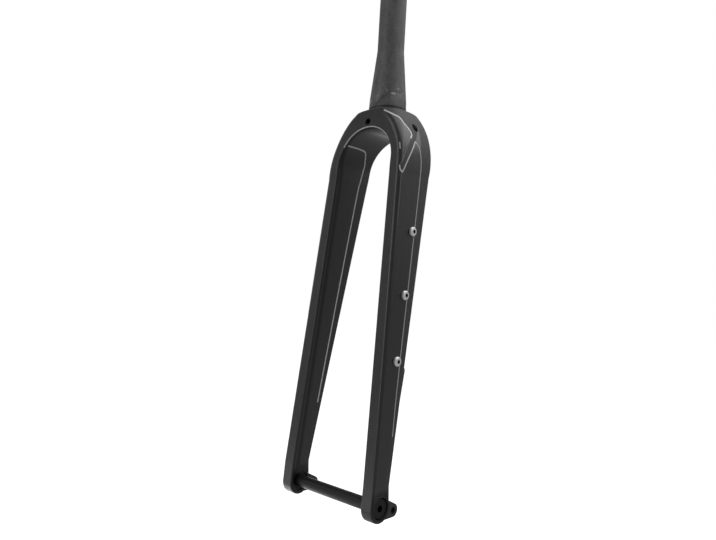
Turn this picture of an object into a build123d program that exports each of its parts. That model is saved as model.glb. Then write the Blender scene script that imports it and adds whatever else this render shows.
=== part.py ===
# Rigid bicycle fork: a carbon crown with two tapering blades, a bonded steerer and its metal fittings.
# +X is forward, +Y is the rider's left and +Z runs up the steerer axis.
# The origin lies on the steerer axis at the foot of the crown race seat.

import os
from math import cos, radians, sin

from build123d import *

# Steerer
steerer_length = 300.0
steerer_diameter = 28.6
steerer_bore = 23.8
race_seat_diameter = 39.8
race_seat_height = 5.5
race_groove_width = 1.2
race_groove_depth = 0.6
taper_foot_diameter = 39.4
taper_foot_height = 11.0
taper_head_height = 67.0
taper_wall = 4.2
spigot_diameter = 35.0
spigot_length = 20.0
spigot_bore = 27.0
steerer_edge = 0.6

# Axle position, measured from the origin
rake = 48.2
drop = 391.8

# Crown
crown_height = 73.3
crown_land = 43.0
crown_slope = 14.0
crown_top_depth = 52.4
crown_top_width = 53.6
crown_top_corner = 19.3
crown_top_edge = 2.4
crown_depth = 56.0
crown_width = 102.5
shoulder_power = 2.3
corner_power = 3.1
arch_height = 23.4
arch_edge = 2.1
wheel_gap_top = 72.4

# Blades
blade_root_x = 9.4
blade_root_depth = 49.2
blade_corner = 5.0

# Dropouts
hub_width = 100.0
dropout_thickness = 14.7
dropout_depth = 22.0
dropout_rise = 19.3
dropout_reach = 1.4
dropout_radius = 12.4
dropout_corner = 2.1
hub_recess_diameter = 19.8
hub_recess_depth = 1.75
tab_back = 21.8
tab_down = 6.0
tab_radius = 6.4
tab_inset = 0.8
tab_thickness = 7.7

# Thru-axle and its bushes
axle_diameter = 12.0
axle_clearance = 0.1
axle_head_diameter = 18.8
axle_head_height = 4.2
axle_head_clearance = 0.7
axle_head_recess = 1.2
axle_hex = 6.0
axle_hex_depth = 5.0
axle_bore = 6.5
axle_lead = 1.2
bush_diameter = 16.4

# Cargo bosses on the outer faces
boss_pitch = 64.0
boss_count = 3
boss_middle_drop = 194.8
boss_back = 2.2
boss_tilt = 8.5
boss_spotface = 0.5
insert_flange_diameter = 10.4
insert_flange_height = 1.0
insert_diameter = 7.0
insert_length = 12.0
thread_diameter = 5.0
screw_length = 10.0
screw_head_diameter = 9.5
screw_head_height = 2.75
screw_head_round = 1.9
screw_hex = 3.0
screw_hex_depth = 1.6

# Crown insert, hose ports, mudguard eyelets and brake mount
crown_insert_drop = 16.2
crown_insert_recess = 1.2
crown_insert_diameter = 7.0
crown_insert_length = 7.0
eyelet_insert_diameter = 7.4
port_drop = 22.2
port_x = 1.2
port_tilt = 58.0
port_recess = 4.8
port_diameter = 8.0
port_bore = 5.6
port_length = 12.0
exit_rise = 170.0
brake_spacing = 70.0
brake_rise = 83.0
brake_pad_width = 10.0
brake_pad_margin = 11.6
brake_pad_height = 0.5
brake_insert_diameter = 8.0
brake_insert_length = 12.0

axle_x = rake
axle_z = -drop
root_z = -crown_height
crown_top = -race_groove_width
dropout_z = axle_z + dropout_rise
root_inner = wheel_gap_top / 2
root_outer = crown_width / 2
hub_face = hub_width / 2
foot_inner = hub_face - hub_recess_depth
foot_outer = foot_inner + dropout_thickness
blade_length = root_z - dropout_z

os.makedirs("parts", exist_ok=True)


def between(start, end, share):
    """Value that lies a share of the way from start to end."""
    return start + (end - start) * share


def blade_share(z):
    """Share of the way down the blade at a height z."""
    return (root_z - z) / blade_length


def outer_face(z):
    """Distance of a blade's outer face from the middle plane."""
    return between(root_outer, foot_outer, blade_share(z))


def inner_face(z):
    """Distance of a blade's inner face from the middle plane."""
    return between(root_inner, foot_inner, blade_share(z))


def rear_edge(z):
    """Place along X of a blade's rear face."""
    root_rear = blade_root_x - blade_root_depth / 2
    return between(root_rear, axle_x - dropout_depth / 2, blade_share(z))


def crown_share(z):
    """Share of the way down the crown at a height z."""
    return (crown_top - z) / (crown_top - root_z)


def crown_section(share):
    """Centre, depth, width and corner of the crown, a share of the way down it."""
    rise = 1 - (1 - share) ** shoulder_power
    depth_line = between(crown_depth, blade_root_depth, share)
    depth = crown_top_depth if share == 0 else depth_line
    width = between(crown_top_width, crown_width, rise)
    corner = between(crown_top_corner, blade_corner, 1 - (1 - share) ** corner_power)
    return blade_root_x * share, depth, width, corner


def write(piece, name):
    """Label a finished piece and write it under that name."""
    piece.part.label = name
    export_step(piece.part, f"parts/{name}.step")


# Places of the fittings
boss_middle_x = between(blade_root_x, axle_x, blade_share(-boss_middle_drop)) - boss_back
boss_runs = [boss_pitch * (i - (boss_count - 1) / 2) for i in range(boss_count)]
boss_x = [boss_middle_x + run * sin(radians(boss_tilt)) for run in boss_runs]
boss_z = [-boss_middle_drop - run * cos(radians(boss_tilt)) for run in boss_runs]
eyelet = (axle_x - tab_back, axle_z - tab_down)
rear_run = Vector(rear_edge(dropout_z) - rear_edge(root_z), 0, -blade_length).normalized()
rear_normal = Vector(rear_run.Z, 0, -rear_run.X)


def boss_plane(side, i):
    """Plane on a boss's seat, facing out of the blade."""
    seat = outer_face(boss_z[i]) - boss_spotface
    return Plane((boss_x[i], side * seat, boss_z[i]), x_dir=(1, 0, 0), z_dir=(0, side, 0))


def rear_plane(z):
    """Plane on the left blade's rear face at a height z, facing back."""
    middle = (inner_face(z) + outer_face(z)) / 2
    return Plane((rear_edge(z), middle, z), x_dir=rear_run, z_dir=rear_normal)


brake_plane = rear_plane(axle_z + brake_rise).offset(brake_pad_height)
exit_plane = rear_plane(axle_z + exit_rise)
insert_x, insert_depth, _, _ = crown_section(crown_share(-crown_insert_drop))
crown_front_x = insert_x + insert_depth / 2
crown_insert_plane = Plane((crown_front_x - crown_insert_recess, 0, -crown_insert_drop), z_dir=(1, 0, 0))
port_width = crown_section(crown_share(-port_drop))[2]
port_axis = Vector(0, cos(radians(port_tilt)), sin(radians(port_tilt)))
port_plane = Plane((port_x, port_width / 2, -port_drop), x_dir=(1, 0, 0), z_dir=port_axis)
axle_plane = Plane((axle_x, 0, axle_z), x_dir=(1, 0, 0), z_dir=(0, 1, 0))
head_face = foot_outer - axle_head_recess
axle_seat = head_face - axle_head_height

# Left dropout: a rounded foot round the axle and a thinner tab behind it
foot_z = axle_z - dropout_reach
foot_middle = (foot_inner + foot_outer) / 2
with BuildPart() as dropout:
    with BuildSketch(Plane.XZ.offset(-foot_inner)):
        with Locations((axle_x, foot_z)):
            Circle(dropout_radius)
        with Locations((axle_x, dropout_z)):
            Rectangle(dropout_depth, dropout_corner, align=(Align.CENTER, Align.MAX))
        make_hull()
    extrude(amount=-dropout_thickness)
    foot_edges = dropout.edges().filter_by(Plane.XZ).group_by(Axis.Z)[:-1]
    fillet([e for level in foot_edges for e in level], dropout_corner)
    with BuildSketch(Plane.XZ.offset(-foot_middle)):
        with Locations((axle_x, foot_z)):
            Circle(dropout_radius - tab_inset)
        with Locations(eyelet):
            Circle(tab_radius)
        make_hull()
    extrude(amount=tab_thickness / 2, both=True)

# Crown, blades and dropouts in one moulding
shoulder_shares = [0, 0.15, 0.34, 0.6, 1]
land_fall = crown_top_width * sin(radians(crown_slope))
spring_z = -arch_height - root_inner
with BuildPart() as fork_body:
    for share in shoulder_shares:
        x, depth, width, corner = crown_section(share)
        with BuildSketch(Plane.XY.offset(between(crown_top, root_z, share))):
            with Locations((x, 0)):
                RectangleRounded(depth, width, corner)
    loft()
    # The top slopes away from a round land at the steerer
    with BuildSketch(Plane.XZ):
        with BuildLine():
            Polyline(
                (crown_land / 2, crown_top),
                (crown_land / 2 + crown_top_width, crown_top),
                (crown_land / 2 + crown_top_width, crown_top - land_fall),
                close=True,
            )
        make_face()
    revolve(axis=Axis.Z, mode=Mode.SUBTRACT)
    slope = fork_body.faces().filter_by(GeomType.CONE)[0]
    fillet(slope.outer_wire().edges(), crown_top_edge)
    with BuildSketch(Plane.YZ):
        with Locations((0, spring_z)):
            Circle(root_inner)
            Rectangle(wheel_gap_top, crown_height, align=(Align.CENTER, Align.MAX))
    extrude(amount=crown_depth, both=True, mode=Mode.SUBTRACT)
    arch_edges = [
        e for e in fork_body.edges(Select.LAST)
        if abs(e.tangent_at(0.5).X) < 0.5 and e.center().Z > root_z + arch_edge
    ]
    fillet(arch_edges, arch_edge)
    # Each blade is a straight taper from the crown's own end face to its dropout's top face
    for root in fork_body.faces().filter_by(Plane.XY).sort_by(Axis.Z)[:2]:
        foot = dropout.part if root.center().Y > 0 else dropout.part.mirror(Plane.XZ)
        loft(sections=[root, foot.faces().sort_by(Axis.Z)[-1]], ruled=True)
        add(foot)
    # Flat pad for the brake on the rear of the left blade
    with BuildSketch(brake_plane):
        SlotOverall(brake_spacing + 2 * brake_pad_margin, brake_pad_width)
    extrude(amount=-brake_pad_height - blade_corner)
    # Socket for the steerer
    with Locations((0, 0, -spigot_length / 2)):
        Cylinder(spigot_diameter / 2, spigot_length, mode=Mode.SUBTRACT)
    # Seats for the boss inserts
    for side in (1, -1):
        for i in range(boss_count):
            with BuildSketch(boss_plane(side, i)):
                Circle(insert_flange_diameter / 2)
            extrude(amount=boss_spotface * 2, mode=Mode.SUBTRACT)
            with BuildSketch(boss_plane(side, i)):
                Circle(insert_diameter / 2)
            extrude(amount=-insert_length, mode=Mode.SUBTRACT)
    # Axle holes, the head's recess in the left dropout and the hub's recesses
    with BuildSketch(axle_plane.offset(-foot_outer)):
        Circle(bush_diameter / 2)
    extrude(amount=2 * foot_outer, mode=Mode.SUBTRACT)
    with BuildSketch(axle_plane.offset(axle_seat)):
        Circle(axle_head_diameter / 2 + axle_head_clearance)
    extrude(amount=foot_outer - axle_seat, mode=Mode.SUBTRACT)
    with BuildSketch(axle_plane.offset(-hub_face)):
        Circle(hub_recess_diameter / 2)
    extrude(amount=hub_width, mode=Mode.SUBTRACT)
    # Mudguard eyelets
    with BuildSketch(Plane.XZ.offset(-foot_outer)):
        with Locations(eyelet):
            Circle(eyelet_insert_diameter / 2)
    extrude(amount=2 * foot_outer, mode=Mode.SUBTRACT)
    # Crown insert, hose ports and brake inserts
    with BuildSketch(crown_insert_plane):
        Circle(crown_insert_diameter / 2)
    extrude(amount=2 * crown_insert_recess, mode=Mode.SUBTRACT)
    with BuildSketch(crown_insert_plane):
        Circle(crown_insert_diameter / 2)
    extrude(amount=-crown_insert_length, mode=Mode.SUBTRACT)
    with BuildSketch(port_plane.offset(-port_recess - port_length)):
        Circle(port_diameter / 2)
    extrude(amount=2 * port_recess + port_length, mode=Mode.SUBTRACT)
    with BuildSketch(exit_plane.offset(-port_length)):
        Circle(port_diameter / 2)
    extrude(amount=port_length, mode=Mode.SUBTRACT)
    with BuildSketch(brake_plane):
        with GridLocations(brake_spacing, 0, 2, 1):
            Circle(brake_insert_diameter / 2)
    extrude(amount=-brake_insert_length, mode=Mode.SUBTRACT)
write(fork_body, "fork_body")

# Steerer: a straight tube that flares to the crown race seat, with a spigot in the crown
groove_radius = race_seat_diameter / 2 - race_groove_depth
with BuildPart() as steerer:
    with BuildSketch(Plane.XZ):
        with BuildLine():
            Polyline(
                (spigot_bore / 2, -spigot_length),
                (spigot_diameter / 2, -spigot_length),
                (spigot_diameter / 2, crown_top),
                (groove_radius, crown_top),
                (groove_radius, 0),
                (race_seat_diameter / 2, 0),
                (race_seat_diameter / 2, race_seat_height),
                (taper_foot_diameter / 2, race_seat_height),
                (taper_foot_diameter / 2, taper_foot_height),
                (steerer_diameter / 2, taper_head_height),
                (steerer_diameter / 2, steerer_length),
                (steerer_bore / 2, steerer_length),
                (steerer_bore / 2, taper_head_height),
                (taper_foot_diameter / 2 - taper_wall, taper_foot_height),
                (spigot_bore / 2, 0),
                close=True,
            )
        make_face()
    revolve(axis=Axis.Z)
    chamfer(steerer.edges().group_by(Axis.Z)[-1], steerer_edge)
write(steerer, "steerer")

# Thru-axle with a socket head at the rider's left
axle_tip = -foot_outer
with BuildPart() as thru_axle:
    with BuildSketch(axle_plane.offset(axle_tip)):
        Circle(axle_diameter / 2)
    extrude(amount=axle_seat - axle_tip)
    chamfer(thru_axle.edges().group_by(Axis.Y)[0], axle_lead)
    with BuildSketch(axle_plane.offset(axle_seat)):
        Circle(axle_head_diameter / 2)
    extrude(amount=axle_head_height)
    chamfer(thru_axle.edges().group_by(Axis.Y)[-1], axle_lead / 2)
    with BuildSketch(axle_plane.offset(head_face)):
        RegularPolygon(axle_hex / 2, 6, major_radius=False)
    extrude(amount=-axle_hex_depth, mode=Mode.SUBTRACT)
    with BuildSketch(axle_plane.offset(axle_tip)):
        Circle(axle_bore / 2)
    extrude(amount=axle_seat - axle_tip - axle_hex_depth, mode=Mode.SUBTRACT)
write(thru_axle, "thru_axle")

# Bush under the axle's head and threaded nut in the right dropout
axle_hole = axle_diameter / 2 + axle_clearance
for name, start, end in (("axle_bush", hub_face, axle_seat), ("axle_nut", -foot_outer, -hub_face)):
    with BuildPart() as bush:
        with BuildSketch(axle_plane.offset(start)):
            Circle(bush_diameter / 2)
            Circle(axle_hole, mode=Mode.SUBTRACT)
        extrude(amount=end - start)
    write(bush, name)

# Flanged inserts and button-head screws of the cargo bosses
for side, hand in ((1, "left"), (-1, "right")):
    for i in range(boss_count):
        seat = boss_plane(side, i)
        with BuildPart() as boss_insert:
            with BuildSketch(seat.offset(-insert_length)):
                Circle(insert_diameter / 2)
            extrude(amount=insert_length)
            with BuildSketch(seat):
                Circle(insert_flange_diameter / 2)
            extrude(amount=insert_flange_height)
            with BuildSketch(seat.offset(insert_flange_height)):
                Circle(thread_diameter / 2)
            extrude(amount=-insert_flange_height - insert_length, mode=Mode.SUBTRACT)
        write(boss_insert, f"boss_insert_{hand}_{i + 1}")
        head_seat = seat.offset(insert_flange_height)
        with BuildPart() as boss_screw:
            with BuildSketch(head_seat.offset(-screw_length)):
                Circle(thread_diameter / 2)
            extrude(amount=screw_length)
            with BuildSketch(head_seat):
                Circle(screw_head_diameter / 2)
            extrude(amount=screw_head_height)
            head_edges = boss_screw.edges().filter_by(GeomType.CIRCLE).sort_by(Axis.Y)
            rim = head_edges[-1] if side > 0 else head_edges[0]
            fillet(rim, screw_head_round)
            with BuildSketch(head_seat.offset(screw_head_height)):
                RegularPolygon(screw_hex / 2, 6, major_radius=False)
            extrude(amount=-screw_hex_depth, mode=Mode.SUBTRACT)
        write(boss_screw, f"boss_screw_{hand}_{i + 1}")

# Threaded insert in the front of the crown
with BuildPart() as crown_insert:
    with BuildSketch(crown_insert_plane):
        Circle(crown_insert_diameter / 2)
        Circle(thread_diameter / 2, mode=Mode.SUBTRACT)
    extrude(amount=-crown_insert_length)
write(crown_insert, "crown_insert")

# Threaded inserts in the dropout tabs
for side, hand in ((1, "left"), (-1, "right")):
    with BuildPart() as eyelet_insert:
        with BuildSketch(Plane.XZ.offset(-side * foot_middle)):
            with Locations(eyelet):
                Circle(eyelet_insert_diameter / 2)
                Circle(thread_diameter / 2, mode=Mode.SUBTRACT)
        extrude(amount=tab_thickness / 2, both=True)
    write(eyelet_insert, f"eyelet_insert_{hand}")

# Threaded inserts of the brake mount
for place, name in ((-1, "upper"), (1, "lower")):
    with BuildPart() as brake_insert:
        with BuildSketch(brake_plane):
            with Locations((place * brake_spacing / 2, 0)):
                Circle(brake_insert_diameter / 2)
                Circle(thread_diameter / 2, mode=Mode.SUBTRACT)
        extrude(amount=-brake_insert_length)
    write(brake_insert, f"brake_insert_{name}")

# Sleeves of the hose ports, in at the left shoulder and out behind the left blade
for name, mouth in (("hose_port", port_plane.offset(-port_recess)), ("hose_exit", exit_plane)):
    with BuildPart() as sleeve:
        with BuildSketch(mouth):
            Circle(port_diameter / 2)
            Circle(port_bore / 2, mode=Mode.SUBTRACT)
        extrude(amount=-port_length)
    write(sleeve, name)
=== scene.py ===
"""Finish and studio of a rigid bicycle fork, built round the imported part."""

from math import cos, radians, sin

import bmesh
import bpy
from mathutils import Matrix, Vector
from mathutils.bvhtree import BVHTree


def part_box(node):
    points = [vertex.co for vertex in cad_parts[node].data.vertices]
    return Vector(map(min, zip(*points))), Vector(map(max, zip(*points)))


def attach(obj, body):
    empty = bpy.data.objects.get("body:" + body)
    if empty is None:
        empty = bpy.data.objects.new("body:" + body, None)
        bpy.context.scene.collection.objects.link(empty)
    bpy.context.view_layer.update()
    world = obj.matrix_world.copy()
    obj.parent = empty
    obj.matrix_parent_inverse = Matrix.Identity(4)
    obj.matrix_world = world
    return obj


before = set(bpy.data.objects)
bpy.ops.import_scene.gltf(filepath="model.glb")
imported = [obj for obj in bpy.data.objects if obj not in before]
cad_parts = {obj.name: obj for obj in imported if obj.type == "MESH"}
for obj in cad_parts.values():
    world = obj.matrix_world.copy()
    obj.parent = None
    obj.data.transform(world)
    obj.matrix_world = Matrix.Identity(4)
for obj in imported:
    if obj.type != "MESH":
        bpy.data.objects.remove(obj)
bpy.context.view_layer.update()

MM = 0.001
BODY = "root"

# Camera at the photo's place: position in metres, the picture's right and up, focal length in pixels
PHOTO_WIDTH = 716
CAMERA_PLACE = (0.49534, 0.44410, -0.20558)
CAMERA_RIGHT = (-0.6878, 0.7235, 0.0585)
CAMERA_UP = (0.0792, -0.0054, 0.9968)
FOCAL_PIXELS = 629.2
SENSOR_WIDTH = 36.0

# Studio, with lengths in metres: the camera sees a bright floor and world, the fork reflects dimmer ones
FLOOR_HEIGHT = -0.8
FLOOR_HALF_SIDE = 20
FLOOR_SEEN = 0.9
FLOOR_REFLECTED = 0.3
GLOW_REFLECTED = 0.24
GLOW_STRENGTH = 0.9
WORLD_REFLECTED = 0.22
WHITE = (1, 1, 1, 1)
LIGHT_TARGET = (0.02, 0, -0.15)
LIGHT_DISTANCE = 1.4
GROUND_DISTANCE = 0.77

# Soft lights: azimuth and elevation in degrees, width and height in metres, power in watts, distance
SOFT_LIGHTS = {
    "key": (146, 64, 1.8, 1.8, 14, LIGHT_DISTANCE),
    "back": (100, 26, 0.6, 0.6, 1.5, LIGHT_DISTANCE),
    "edge": (-18, 22, 0.5, 1.5, 3.8, LIGHT_DISTANCE),
    "fill": (-68, 10, 0.9, 0.9, 0.9, LIGHT_DISTANCE),
    "far": (-94, 15, 0.25, 0.9, 0.4, LIGHT_DISTANCE),
    "side": (152, 15, 0.5, 0.5, 0.3, LIGHT_DISTANCE),
    "low": (-42, -26, 1.0, 0.45, 1.3, LIGHT_DISTANCE),
    "under": (-136, -16, 1.0, 0.45, 1.1, LIGHT_DISTANCE),
    "ground": (-90, -55, 0.6, 0.5, 1.6, GROUND_DISTANCE),
}

# Arch under the crown: radius, height of its middle and X in millimetres, half sweep and step in degrees
ARCH_RADIUS = 36.9
ARCH_CENTRE = -59.6
ARCH_FRONT = 31.0
ARCH_SWEEP = 58
ARCH_TURN = 4

# Blades: top and X of the front edge, reach of the inner faces at the arch, lean and spread per millimetre
BLADE_TOP = -73.3
BLADE_FRONT = 32.6
INNER_REACH = 40
BLADE_LEAN = 0.084
BLADE_SPREAD = 0.04

# Edges of the black panels in the side view, as points of X and Z in millimetres
CROWN_EDGE = [(28.0, -8.0), (11.0, -31.0), (32.7, -68.0)]
PANEL_EDGE = [(1.2, -60.0), (40.0, -345.0)]
SLASH_EDGE = [(30.0, -74.9), (7.0, -38.8)]
EDGE_ROUND = 3.0
EDGE_BLUR = (-0.5, 0.5)
OUTWARD = (-0.2, 0.1)

# Painted shade in the deepest black: a band inside the front rim for a dark reflection, and the dropouts'
# flat faces round the axle for the shaded recess there
SHADED_RIM_BAND = ((1.5, 3.5), (5.5, 8.5))
SHADED_RIM_FACING = (0.3, 0.6)
SHADED_END_REACH = (13, 19)
SHADED_END_FACING = (0.4, 0.8)
PAINTED_SHADE_BLACK = 0.002

# Lacquer: tones as stops of a ramp, share of long grain in the weave, roughness and clear coat
BLACK_TONES = [(0.3, 0.010), (0.7, 0.018)]
GRAPHITE_TONES = [(0.35, 0.028), (0.65, 0.054)]
GRAIN_SHARE = 0.6
BLACK_ROUGHNESS = 0.34
GRAPHITE_ROUGHNESS = 0.54
LACQUER_CLOUD = 0.08
COAT_WEIGHT = 0.4
COAT_ROUGHNESS = 0.22

# Bare carbon: tones, share of coarse mottling, roughness with its rise, and a painted shadow in the gap above
# the crown
CARBON_TONES = [(0.3, 0.055), (0.5, 0.095), (0.72, 0.14)]
MOTTLE_SHARE = 0.7
CARBON_ROUGHNESS = (0.42, 0.2)
GAP_SHADE_BAND = ((0.4, 0.9), (2.6, 3.2))
GAP_SHADE_BLACK = 0.015

# Scuffs and painted light on the steerer's foot in millimetres: middle, half width, half height and strength
SCUFFS_AND_LIGHT_PATCHES = [
    ((9.9, 16.0, 15.7), 3.4, 1.4, 0.8),
    ((4.9, 17.5, 21.7), 2.0, 1.8, 0.4),
    # painted highlight at the steerer's left edge
    ((16.8, -9.8, 9.5), 3.0, 2.4, 0.9),
    # broad painted light on the lower right of the foot
    ((5.0, 19.2, 9.0), 12.0, 8.0, 0.12),
]
SCUFF_AND_LIGHT_FADE = (0.4, 1.2)
SCUFF_AND_LIGHT_GREY = 0.45
FINE_SCUFF_BAND = ((4, 8), (18, 34))
FINE_SCUFF_SPOTS = (0.62, 0.68)
FINE_SCUFF_SHARE = 0.2

# Dark smear on the steerer's foot: a line in Y and Z, its soft width, its heights and its place in X
SMEAR_LINE = [(1.8, 4.4), (7.5, 11.0)]
SMEAR_WIDTH = (0.5, 3.5)
SMEAR_BAND = ((1, 4), (12, 17))
SMEAR_FRONT = (0, 8)
SMEAR_SHARE = 0.8
SMEAR_GREY = 0.04

# Finishes of the fittings: grey, roughness and share of metal, with a light cloud in the roughness
BLACK_ANODISED = (0.012, 0.35, 0.6)
DULL_ALLOY = (0.12, 0.4, 0.9)
SCREW_STEEL = (0.85, 0.43, 0.85)
RUBBER = (0.004, 0.75, 0.0)
CLOUD_SCALE = 300
CLOUD_DEPTH = 0.1
BLUE_TINT = 1.02

# Second greys: the axle's shaft, up to its head along Y, and painted shade in the sockets of the screws, out
# from their axes
SHAFT_GREY = 0.032
HEAD_EDGE = (46, 50)
SOCKET_SHADE_GREY = 0.06
SOCKET_SHADE_EDGE = (1.75, 2.0)

# Silver paint: three greys, the palest a painted highlight on the crown's lines and the darkest a painted
# shade on their tail, roughness and share of metal
SILVER_WITH_HIGHLIGHT = 0.58
PLAIN_SILVER = 0.45
SILVER_IN_SHADE = 0.16
SILVER_ROUGHNESS = 0.42
SILVER_METALLIC = 0.25

# Paint strips in millimetres: widths, height above the lacquer and step; room round an insert in its radii
STRIPE_WIDTH = 1.15
CROWN_WIDTH = 2.0
INNER_WIDTH = 1.6
SLASH_WIDTH = 1.4
FINE_WIDTH = 0.75
STRIPE_LIFT = 0.05
STRIPE_STEP = 1.5
INSERT_ROOM = 1.45

# Distance in metres within which points of a surface are the same
SAME_POINT = 1e-7

# Paint lines on the left half, as points in millimetres close to the surface
CROWN_LINE = [
    (27.1, 19.8, -6.8), (26.5, 25.4, -9.9), (24.8, 31.4, -13.2), (21.8, 35.5, -15.6), (20.1, 38.1, -18.6),
    (18.1, 40.1, -22.2), (15.4, 41.4, -24.7), (13.0, 42.5, -27.3), (11.2, 43.6, -30.0), (11.3, 44.8, -33.2),
    (14.4, 46.2, -37.1),
]
TAIL_LINE = [
    (14.4, 46.2, -37.1), (18.1, 47.0, -40.4), (22.0, 48.1, -45.0), (25.1, 49.8, -52.2), (28.3, 50.6, -58.5),
    (31.0, 50.4, -64.1), (32.7, 49.3, -68.0),
]
POINT_LINE = [(32.7, 49.3, -68.0), (32.6, 49.8, -71.0), (31.9, 50.3, -73.0), (30.0, 51.2, -74.9)]
SLASH_LINE = [
    (30.0, 51.2, -74.9), (26.9, 51.1, -69.2), (21.4, 50.5, -59.5), (14.5, 48.9, -49.5), (8.5, 46.9, -40.4),
    (7.0, 46.5, -38.8),
]
PANEL_LINE = [
    (7.0, 46.5, -38.8), (3.5, 47.3, -42.3), (1.6, 48.5, -47.3), (1.2, 50.1, -55.0), (1.4, 50.9, -64.0),
    (3.0, 51.6, -82.0), (7.2, 52.9, -114.4), (12.9, 54.5, -156.0), (18.4, 56.2, -196.5), (23.7, 57.6, -235.0),
    (28.1, 58.9, -267.7), (31.9, 60.1, -297.0), (35.2, 61.3, -328.0),
]
INNER_LINE = [
    (27.5, 28.9, -37.8), (14.9, 28.7, -37.6), (6.6, 28.8, -37.8), (0.0, 29.5, -38.7), (-3.6, 31.7, -42.3),
    (-6.6, 35.0, -50.6), (-6.2, 36.0, -56.4), (-3.7, 36.2, -65.2), (-1.5, 36.4, -73.8), (1.2, 36.7, -86.5),
    (15.1, 40.6, -181.5), (33.2, 45.8, -312.2),
]
DASH_LINE = [(30.4, 45.8, -44.5), (30.8, 46.7, -48.0), (31.2, 47.6, -51.5)]

# Sockets of a Mix node that mixes colours: share, first colour, second colour and result
MIX_SHARE, MIX_FIRST, MIX_SECOND, MIX_RESULT = 0, 6, 7, 2


class Socket:
    """An output of a material's node tree. Arithmetic on it adds Math nodes."""

    def __init__(self, tree, out=None):
        self.tree = tree
        self.out = out

    def node(self, kind, settings=None, inputs=None, output=0):
        """Add a node, set it up, feed its inputs and give one of its outputs."""
        made = self.tree.nodes.new(kind)
        for name, value in (settings or {}).items():
            if name == "stops":
                shape_ramp(made.color_ramp, value)
            else:
                setattr(made, name, value)
        for name, value in (inputs or {}).items():
            feed(self.tree, made.inputs[name], value)
        return Socket(self.tree, made.outputs[output])

    def math(self, operation, *values):
        """A Math node on this value and others."""
        return self.node("ShaderNodeMath", {"operation": operation}, dict(enumerate((self, *values))))

    def __add__(self, other):
        return self.math("ADD", other)

    def __sub__(self, other):
        return self.math("SUBTRACT", other)

    def __rsub__(self, other):
        return (self * -1).math("ADD", other)

    def __mul__(self, other):
        return self.math("MULTIPLY", other)

    def __abs__(self):
        return self.math("ABSOLUTE")

    __radd__ = __add__
    __rmul__ = __mul__

    def step(self, low, high):
        """Smooth step from 0 at low to 1 at high."""
        settings = {"interpolation_type": "SMOOTHSTEP"}
        return self.node("ShaderNodeMapRange", settings, {"Value": self, "From Min": low, "From Max": high})

    def band(self, rise, fall):
        """1 between two smooth steps and 0 outside them."""
        return self.step(*rise) * (1 - self.step(*fall))

    def between(self, first, second):
        """Colour that goes from the first to the second as this share goes from 0 to 1."""
        inputs = {MIX_SHARE: self, MIX_FIRST: first, MIX_SECOND: second}
        return self.node("ShaderNodeMix", {"data_type": "RGBA"}, inputs, output=MIX_RESULT)


def feed(tree, target, value):
    """Link a socket to an input, or set the input's own value."""
    if isinstance(value, Socket):
        tree.links.new(value.out, target)
    else:
        target.default_value = value


def shape_ramp(ramp, stops):
    """Give a colour ramp its stops, each a place and a grey value."""
    while len(ramp.elements) < len(stops):
        ramp.elements.new(1.0)
    for element, (place, value) in zip(ramp.elements, stops):
        element.position = place
        element.color = (value, value, value, 1)


def grey(value):
    """A grey with a trace of blue."""
    return (value, value, value * BLUE_TINT, 1)


def new_finish(name):
    """A material with its Principled shader, and a socket to start its node tree from."""
    finish = bpy.data.materials.new(name)
    finish.use_nodes = True
    shader = finish.node_tree.nodes["Principled BSDF"]
    return finish, shader, Socket(finish.node_tree)


def parts_of(vector):
    """X, Y and Z of a vector."""
    split = vector.node("ShaderNodeSeparateXYZ", inputs={0: vector}).out.node
    return [Socket(vector.tree, out) for out in split.outputs]


def place_of(start):
    """Object coordinates in millimetres: X, Y and Z."""
    point = start.node("ShaderNodeTexCoord", output="Object")
    return [part * (1 / MM) for part in parts_of(point)]


def noise(start, scale, detail=3.0, stretch=(1, 1, 1)):
    """Noise in object space; scale counts features per metre."""
    point = start.node("ShaderNodeTexCoord", output="Object")
    point = start.node("ShaderNodeMapping", inputs={"Vector": point, "Scale": stretch})
    return start.node("ShaderNodeTexNoise", inputs={"Vector": point, "Scale": scale, "Detail": detail})


def span(*parts):
    """Length of a vector with the given parts."""
    first, *rest = [part * part for part in parts]
    return sum(rest, first).math("SQRT")


def half_plane(across, up, start, end):
    """Signed distance from a line in a plane, positive on the left of its run."""
    run = (Vector(end) - Vector(start)).normalized()
    return (across - start[0]) * -run.y + (up - start[1]) * run.x


def middle_of(name):
    """Middle of a CAD node's box, in metres."""
    low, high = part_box(name)
    return (low + high) / 2


def rounded_corner(x, z, one_edge, other_edge):
    """Distance into the rounded corner between two lines of the side view."""
    return half_plane(x, z, *one_edge).math("SMOOTH_MIN", half_plane(x, z, *other_edge), EDGE_ROUND)


def black_panels(x, z):
    """Distance into the black panels of the outer side, less than 0 on the graphite bands."""
    crown = rounded_corner(x, z, CROWN_EDGE[:2], CROWN_EDGE[1:])
    panel = rounded_corner(x, z, PANEL_EDGE, SLASH_EDGE)
    front = x - (BLADE_FRONT - (z - BLADE_TOP) * BLADE_LEAN)
    return crown.math("MAXIMUM", panel).math("MAXIMUM", front)


def rim_painted_shade(x, y, z, ahead):
    """Share of the painted shade, a dark reflection, on the inner faces just behind the front rim."""
    behind = BLADE_FRONT - (z - BLADE_TOP).math("MINIMUM", 0) * BLADE_LEAN - x
    height = z - ARCH_CENTRE
    inside = INNER_REACH - height.math("MINIMUM", 0) * BLADE_SPREAD - span(y, height.math("MAXIMUM", 0))
    return behind.band(*SHADED_RIM_BAND) * inside.step(*EDGE_BLUR) * (1 - ahead.step(*SHADED_RIM_FACING))


def dropout_painted_shade(x, z, across):
    """Share of the painted shade on the dropouts' flat faces round the axle."""
    axle = middle_of("thru_axle") / MM
    reach = span(x - axle.x, z - axle.z)
    return (1 - reach.step(*SHADED_END_REACH)) * abs(across).step(*SHADED_END_FACING)


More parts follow.
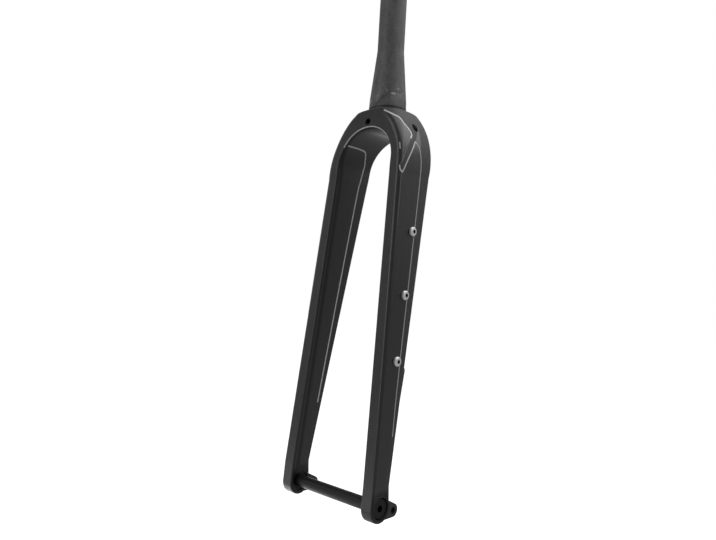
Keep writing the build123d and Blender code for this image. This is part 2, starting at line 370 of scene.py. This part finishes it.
def lacquer():
    """Black panels and graphite bands of lacquer over carbon, with painted shade behind the front rim and
    round the axle.
    """
    finish, shader, start = new_finish("fork_lacquer")
    x, y, z = place_of(start)
    ahead, across, _ = parts_of(start.node("ShaderNodeNewGeometry", output="True Normal"))
    facing_out = (across * y.math("SIGN")).step(*OUTWARD)
    black_share = 1 - facing_out * (1 - black_panels(x, z).step(*EDGE_BLUR))
    # painted shade: deepest black, without clear coat, behind the front rim and on the faces round the axle
    painted_shade = rim_painted_shade(x, y, z, ahead).math("MAXIMUM", dropout_painted_shade(x, z, across))
    grain = noise(start, scale=700, detail=4.0, stretch=(1, 1, 0.1))
    speck = noise(start, scale=1500, detail=2.0)
    cloud = noise(start, scale=45)
    weave = grain * GRAIN_SHARE + speck * (1 - GRAIN_SHARE)
    black = start.node("ShaderNodeValToRGB", {"stops": BLACK_TONES}, {0: grain})
    graphite = start.node("ShaderNodeValToRGB", {"stops": GRAPHITE_TONES}, {0: weave})
    paint = painted_shade.between(black_share.between(graphite, black), grey(PAINTED_SHADE_BLACK))
    gloss = black_share * (GRAPHITE_ROUGHNESS - BLACK_ROUGHNESS)
    feed(start.tree, shader.inputs["Base Color"], paint)
    feed(start.tree, shader.inputs["Roughness"], GRAPHITE_ROUGHNESS - gloss + cloud * LACQUER_CLOUD)
    feed(start.tree, shader.inputs["Coat Weight"], black_share * (1 - painted_shade) * COAT_WEIGHT)
    shader.inputs["Coat Roughness"].default_value = COAT_ROUGHNESS
    return finish


def foot_scuffs_and_light(start, x, y, z):
    """Share of pale scuffs on the steerer's foot, and of painted light there: a highlight at its left edge
    and a broad pale patch on its lower right.
    """
    spots = noise(start, scale=230, detail=1.5, stretch=(1, 1, 0.7)).step(*FINE_SCUFF_SPOTS)
    share = spots * z.band(*FINE_SCUFF_BAND) * FINE_SCUFF_SHARE
    for middle, wide, high, strength in SCUFFS_AND_LIGHT_PATCHES:
        reach = span(
            (x - middle[0]) * (1 / wide), (y - middle[1]) * (1 / wide), (z - middle[2]) * (1 / high)
        )
        share = share.math("MAXIMUM", (1 - reach.step(*SCUFF_AND_LIGHT_FADE)) * strength)
    return share


def foot_smear(x, y, z):
    """Share of the dark smear on the steerer's foot."""
    off = abs(half_plane(y, z, *SMEAR_LINE))
    return (1 - off.step(*SMEAR_WIDTH)) * z.band(*SMEAR_BAND) * x.step(*SMEAR_FRONT)


def bare_carbon():
    """Sanded carbon of the steerer, mottled, with scuffs and painted highlights near its foot, and a painted
    shadow in the gap above the crown.
    """
    finish, shader, start = new_finish("bare_carbon")
    x, y, z = place_of(start)
    mottle = noise(start, scale=110, stretch=(1, 1, 0.4))
    tone = mottle * MOTTLE_SHARE + noise(start, scale=420, detail=2.0) * (1 - MOTTLE_SHARE)
    carbon = start.node("ShaderNodeValToRGB", {"stops": CARBON_TONES}, {0: tone})
    smeared = (foot_smear(x, y, z) * SMEAR_SHARE).between(carbon, grey(SMEAR_GREY))
    scuffed_and_lit = foot_scuffs_and_light(start, x, y, z).between(smeared, grey(SCUFF_AND_LIGHT_GREY))
    low, rise = CARBON_ROUGHNESS
    # painted shadow: a dark band in the gap just above the crown
    feed(start.tree, shader.inputs["Base Color"], z.band(*GAP_SHADE_BAND).between(scuffed_and_lit, grey(GAP_SHADE_BLACK)))
    feed(start.tree, shader.inputs["Roughness"], low + tone * rise)
    return finish


def clouded(finish, shader, start, colour, roughness, metallic):
    """Give a finish its colour, a roughness with a light cloud in it, and its share of metal."""
    cloud = noise(start, CLOUD_SCALE)
    feed(start.tree, shader.inputs["Base Color"], colour)
    feed(start.tree, shader.inputs["Roughness"], roughness - CLOUD_DEPTH / 2 + cloud * CLOUD_DEPTH)
    shader.inputs["Metallic"].default_value = metallic
    return finish


def plain(name, value, roughness, metallic):
    """A finish of one grey."""
    return clouded(*new_finish(name), grey(value), roughness, metallic)


def silver(name, value):
    """Silver paint of the given grey."""
    return plain(name, value, SILVER_ROUGHNESS, SILVER_METALLIC)


def axle_black():
    """Black anodised axle, a little paler along its shaft than on its head."""
    finish, shader, start = new_finish("axle_black")
    _, y, _ = place_of(start)
    head_grey, roughness, metallic = BLACK_ANODISED
    tone = y.step(*HEAD_EDGE).between(grey(SHAFT_GREY), grey(head_grey))
    return clouded(finish, shader, start, tone, roughness, metallic)


def screw_steel():
    """Bright steel of the boss screws, with painted shade in their sockets, whose X and Z are the same on
    both blades.
    """
    finish, shader, start = new_finish("satin_steel")
    x, _, z = place_of(start)
    middles = [middle_of(name) / MM for name in nodes_named("boss_screw_left")]
    nearest, *others = [span(x - middle.x, z - middle.z) for middle in middles]
    for reach in others:
        nearest = nearest.math("MINIMUM", reach)
    rim_grey, roughness, metallic = SCREW_STEEL
    # painted shade: the sockets darker than the rims
    tone = nearest.step(*SOCKET_SHADE_EDGE).between(grey(SOCKET_SHADE_GREY), grey(rim_grey))
    return clouded(finish, shader, start, tone, roughness, metallic)


def nodes_named(*starts):
    """Names of the CAD nodes that start with any of the given words."""
    return [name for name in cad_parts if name.startswith(starts)]


def wear(names, finish):
    """Give CAD nodes a finish."""
    for name in names:
        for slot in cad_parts[name].material_slots:
            slot.material = finish


def dress_nodes():
    """Give every CAD node its finish."""
    wear(nodes_named("fork_body"), lacquer())
    wear(nodes_named("steerer"), bare_carbon())
    wear(nodes_named("thru_axle"), axle_black())
    wear(nodes_named("boss_screw"), screw_steel())
    black_fittings = nodes_named("crown_insert", "eyelet_insert", "axle_bush", "axle_nut")
    wear(black_fittings, plain("black_anodised", *BLACK_ANODISED))
    wear(nodes_named("boss_insert", "brake_insert"), plain("dull_alloy", *DULL_ALLOY))
    wear(nodes_named("hose_port", "hose_exit"), plain("rubber", *RUBBER))


def smooth_run(points, step):
    """Points of a smooth curve through the given ones, about a step apart."""
    points = [Vector(point) for point in points]
    ends = [2 * points[0] - points[1], *points, 2 * points[-1] - points[-2]]
    run = []
    for a, b, c, d in zip(ends, ends[1:], ends[2:], ends[3:]):
        bend = 2 * a - 5 * b + 4 * c - d
        twist = 3 * b - a - 3 * c + d
        count = max(2, round((c - b).length / step))
        for t in (i / count for i in range(count)):
            run.append((2 * b + (c - a) * t + bend * t * t + twist * t ** 3) / 2)
    return [*run, points[-1]]


def surface_of(name):
    """Search tree of a CAD node's surface, in metres."""
    bm = bmesh.new()
    bm.from_mesh(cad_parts[name].data)
    bmesh.ops.remove_doubles(bm, verts=bm.verts, dist=SAME_POINT)
    tree = BVHTree.FromBMesh(bm)
    bm.free()
    return tree


def lay_strip(bm, surface, stretch):
    """Draw a grid three points wide onto the surface, along places with their steps to the side."""
    grid = bmesh.ops.create_grid(bm, x_segments=len(stretch) - 1, y_segments=2, size=1)
    for i, vert in enumerate(grid["verts"]):
        row, column = divmod(i, len(stretch))
        place, side = stretch[column]
        spot, up = surface.find_nearest(place + side * (row - 1))[:2]
        vert.co = spot + up * STRIPE_LIFT * MM


def lay_stripe(bm, surface, points, width, gaps):
    """Lay thin strips of paint along points, except near the gaps."""
    run = [surface.find_nearest(point * MM)[:2] for point in smooth_run(points, STRIPE_STEP)]
    stretches = [[]]
    for i, (place, normal) in enumerate(run):
        if any((place - middle).length < reach for middle, reach in gaps):
            stretches.append([])
            continue
        ahead = run[min(i + 1, len(run) - 1)][0] - run[max(i - 1, 0)][0]
        stretches[-1].append((place, normal.cross(ahead).normalized() * width * MM / 2))
    for stretch in stretches:
        if len(stretch) > 1:
            lay_strip(bm, surface, stretch)


def on_both_halves(lines):
    """Lines with their widths, each also as its mirror image on the right half."""
    return [([(x, y * hand, z) for x, y, z in line], width) for line, width in lines for hand in (1, -1)]


def lay_paint(name, finish, surface, lines, gaps):
    """One object of paint strips."""
    bm = bmesh.new()
    for line, width in lines:
        lay_stripe(bm, surface, line, width, gaps)
    for face in bm.faces:
        face.smooth = True
    mesh = bpy.data.meshes.new(name)
    bm.to_mesh(mesh)
    bm.free()
    stripes = bpy.data.objects.new(name, mesh)
    bpy.context.scene.collection.objects.link(stripes)
    mesh.materials.append(finish)
    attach(stripes, BODY)


def arch_line():
    """Line on the front face round the arch under the crown."""
    turns = [radians(turn) for turn in range(-ARCH_SWEEP, ARCH_SWEEP + 1, ARCH_TURN)]
    return [(ARCH_FRONT, ARCH_RADIUS * sin(turn), ARCH_CENTRE + ARCH_RADIUS * cos(turn)) for turn in turns]


def insert_gaps():
    """Places of the boss inserts with the reach that paint stays away from them."""
    gaps = []
    for name in nodes_named("boss_insert"):
        low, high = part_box(name)
        gaps.append((middle_of(name), (high.x - low.x) / 2 * INSERT_ROOM))
    return gaps


def add_stripes():
    """Silver pinstripes, the crown's paler as painted highlight, and their tail darker as painted shade."""
    surface = surface_of("fork_body")
    gaps = insert_gaps()
    lit_lines = on_both_halves([
        (CROWN_LINE, CROWN_WIDTH), (SLASH_LINE, SLASH_WIDTH),
        (POINT_LINE, SLASH_WIDTH), (INNER_LINE, INNER_WIDTH),
    ])
    thin = on_both_halves([(PANEL_LINE, STRIPE_WIDTH), (DASH_LINE, STRIPE_WIDTH)])
    shaded_lines = on_both_halves([(TAIL_LINE, FINE_WIDTH)])
    thin.append((arch_line(), STRIPE_WIDTH))
    # one silver paint: paler as painted highlight on the crown's lines, darker as painted shade on their tail
    lay_paint("crown_stripes", silver("silver_with_highlight", SILVER_WITH_HIGHLIGHT), surface, lit_lines, gaps)
    lay_paint("pinstripes", silver("silver_paint", PLAIN_SILVER), surface, thin, gaps)
    lay_paint("shaded_tail_stripes", silver("silver_in_shade", SILVER_IN_SHADE), surface, shaded_lines, gaps)


def add_camera():
    """Camera at the photo's place and angle."""
    right = Vector(CAMERA_RIGHT)
    up = Vector(CAMERA_UP)
    turn = Matrix((right, up, right.cross(up))).transposed().to_4x4()
    data = bpy.data.cameras.new("photo_camera")
    data.sensor_width = SENSOR_WIDTH
    data.lens = FOCAL_PIXELS / PHOTO_WIDTH * SENSOR_WIDTH
    camera = bpy.data.objects.new("photo_camera", data)
    camera.matrix_world = Matrix.Translation(CAMERA_PLACE) @ turn
    bpy.context.scene.collection.objects.link(camera)
    bpy.context.scene.camera = camera


def add_soft_light(name, turn, height, wide, tall, power, distance):
    """An area light that faces the fork from an azimuth and elevation in degrees."""
    data = bpy.data.lights.new(name, "AREA")
    data.shape = "RECTANGLE"
    data.size, data.size_y = wide, tall
    data.energy = power
    turn, height = radians(turn), radians(height)
    away = Vector((cos(turn) * cos(height), sin(turn) * cos(height), sin(height)))
    light = bpy.data.objects.new(name, data)
    light.visible_camera = False
    light.location = Vector(LIGHT_TARGET) + away * distance
    light.rotation_euler = away.to_track_quat("Z", "Y").to_euler()
    bpy.context.scene.collection.objects.link(light)


def add_world():
    """White surroundings, dimmer for all but the camera."""
    world = bpy.data.worlds.new("studio")
    world.use_nodes = True
    background = world.node_tree.nodes["Background"]
    seen = Socket(world.node_tree).node("ShaderNodeLightPath", output="Is Camera Ray")
    feed(world.node_tree, background.inputs["Color"], WHITE)
    feed(world.node_tree, background.inputs["Strength"], WORLD_REFLECTED + seen * (1 - WORLD_REFLECTED))
    bpy.context.scene.world = world


def add_floor():
    """Pale floor, dimmer for all but the camera."""
    bm = bmesh.new()
    bmesh.ops.create_grid(bm, x_segments=1, y_segments=1, size=FLOOR_HALF_SIDE)
    bmesh.ops.translate(bm, verts=bm.verts, vec=(0, 0, FLOOR_HEIGHT))
    mesh = bpy.data.meshes.new("floor")
    bm.to_mesh(mesh)
    bm.free()
    floor = bpy.data.objects.new("floor", mesh)
    bpy.context.scene.collection.objects.link(floor)
    finish, shader, start = new_finish("pale_floor")
    seen = start.node("ShaderNodeLightPath", output="Is Camera Ray")
    feed(start.tree, shader.inputs["Base Color"], seen.between(grey(FLOOR_REFLECTED), grey(FLOOR_SEEN)))
    feed(start.tree, shader.inputs["Emission Color"], seen.between(grey(GLOW_REFLECTED), WHITE))
    shader.inputs["Emission Strength"].default_value = GLOW_STRENGTH
    mesh.materials.append(finish)


dress_nodes()
add_stripes()
add_camera()
add_world()
add_floor()
for light_name, setup in SOFT_LIGHTS.items():
    add_soft_light(light_name, *setup)
bpy.context.scene.view_settings.view_transform = "Standard"
